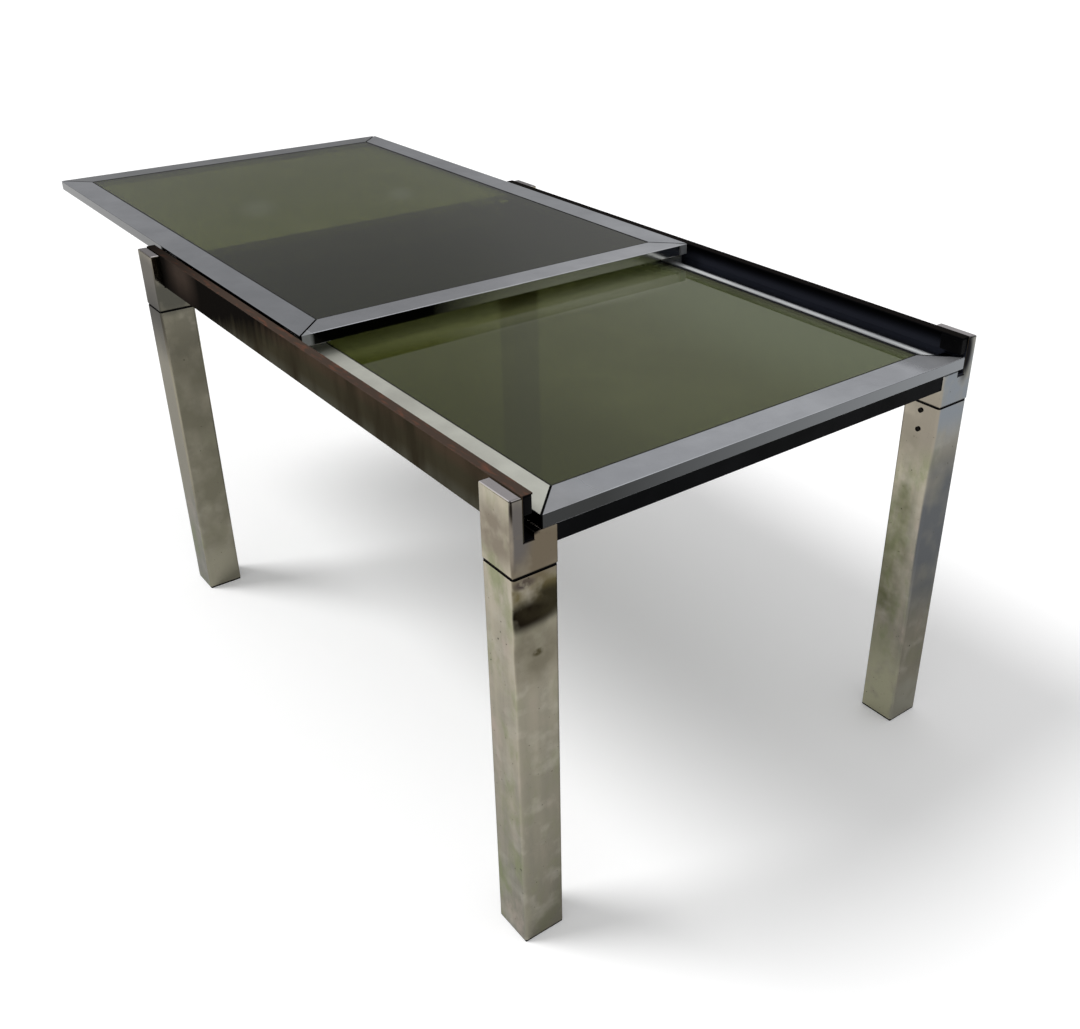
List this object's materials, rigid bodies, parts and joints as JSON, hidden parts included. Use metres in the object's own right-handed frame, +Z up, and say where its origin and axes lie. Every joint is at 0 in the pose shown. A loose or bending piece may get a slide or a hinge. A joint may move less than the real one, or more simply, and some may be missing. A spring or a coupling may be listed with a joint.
{
  "type": "extending dining table",
  "caption": "Extending dining table on square chrome legs: dark channel rails carry a framed smoked-glass leaf that slides lengthwise off a loose lower glass leaf.",
  "frame": {"origin": "on the floor, below the middle of the table's overall length and width as pictured, with the upper leaf drawn out", "axes": "+X along the table towards the end away from the drawn-out leaf, +Y across the table from the pictured long side to the far one, +Z up"},
  "size_m": [1.921, 0.904, 0.759],
  "materials": {
    "aged_chrome": "polished, weathered and slightly blotched",
    "bronze_lacquer": "glossy dark bronze brown",
    "black_paint": "semi-matt black",
    "satin_aluminium": "satin grey",
    "smoked_glass": "polished, olive smoked",
    "black_rubber": "matt black",
    "black_plastic": "moulded black",
    "grey_nylon": "moulded light grey nylon",
    "dark_steel": "black oxide"
  },
  "bodies": {
    "base": {"leg_front_left": "aged_chrome", "foot_front_left": "black_plastic", "spigot_front_left": "black_plastic", "cap_front_left": "aged_chrome", "end_stop_front_left": "black_plastic", "leg_screw_front_left_upper": "dark_steel", "leg_screw_front_left_lower": "dark_steel", "leg_front_right": "aged_chrome", "foot_front_right": "black_plastic", "spigot_front_right": "black_plastic", "cap_front_right": "aged_chrome", "end_stop_front_right": "black_plastic", "leg_screw_front_right_upper": "dark_steel", "leg_screw_front_right_lower": "dark_steel", "leg_rear_left": "aged_chrome", "foot_rear_left": "black_plastic", "spigot_rear_left": "black_plastic", "cap_rear_left": "aged_chrome", "end_stop_rear_left": "black_plastic", "leg_screw_rear_left_upper": "dark_steel", "leg_screw_rear_left_lower": "dark_steel", "leg_rear_right": "aged_chrome", "foot_rear_right": "black_plastic", "spigot_rear_right": "black_plastic", "cap_rear_right": "aged_chrome", "end_stop_rear_right": "black_plastic", "leg_screw_rear_right_upper": "dark_steel", "leg_screw_rear_right_lower": "dark_steel", "rail_front": "bronze_lacquer", "rail_rear": "bronze_lacquer", "apron_left": "black_paint", "apron_right": "black_paint", "lower_bar_front": "satin_aluminium", "lower_bar_right": "satin_aluminium", "lower_bar_rear": "satin_aluminium", "lower_bar_left": "satin_aluminium", "lower_key_front_left": "black_plastic", "lower_key_front_right": "black_plastic", "lower_key_rear_right": "black_plastic", "lower_key_rear_left": "black_plastic", "lower_gasket": "black_rubber", "lower_glass": "smoked_glass"},
    "upper_leaf": {"upper_bar_front": "satin_aluminium", "upper_bar_right": "satin_aluminium", "upper_bar_rear": "satin_aluminium", "upper_bar_left": "satin_aluminium", "upper_key_front_left": "black_plastic", "upper_key_front_right": "black_plastic", "upper_key_rear_right": "black_plastic", "upper_key_rear_left": "black_plastic", "upper_gasket": "black_rubber", "upper_glass": "smoked_glass", "runner_front_inner": "satin_aluminium", "glide_front_inner": "grey_nylon", "runner_front_middle": "satin_aluminium", "glide_front_middle": "grey_nylon", "runner_rear_inner": "satin_aluminium", "glide_rear_inner": "grey_nylon", "runner_rear_middle": "satin_aluminium", "glide_rear_middle": "grey_nylon"}
  },
  "joints": [
    {"name": "leaf_slide", "type": "slide", "parent": "base", "child": "upper_leaf", "axis": [1, 0, 0], "range_m": [0, 0.64]}
  ]
}
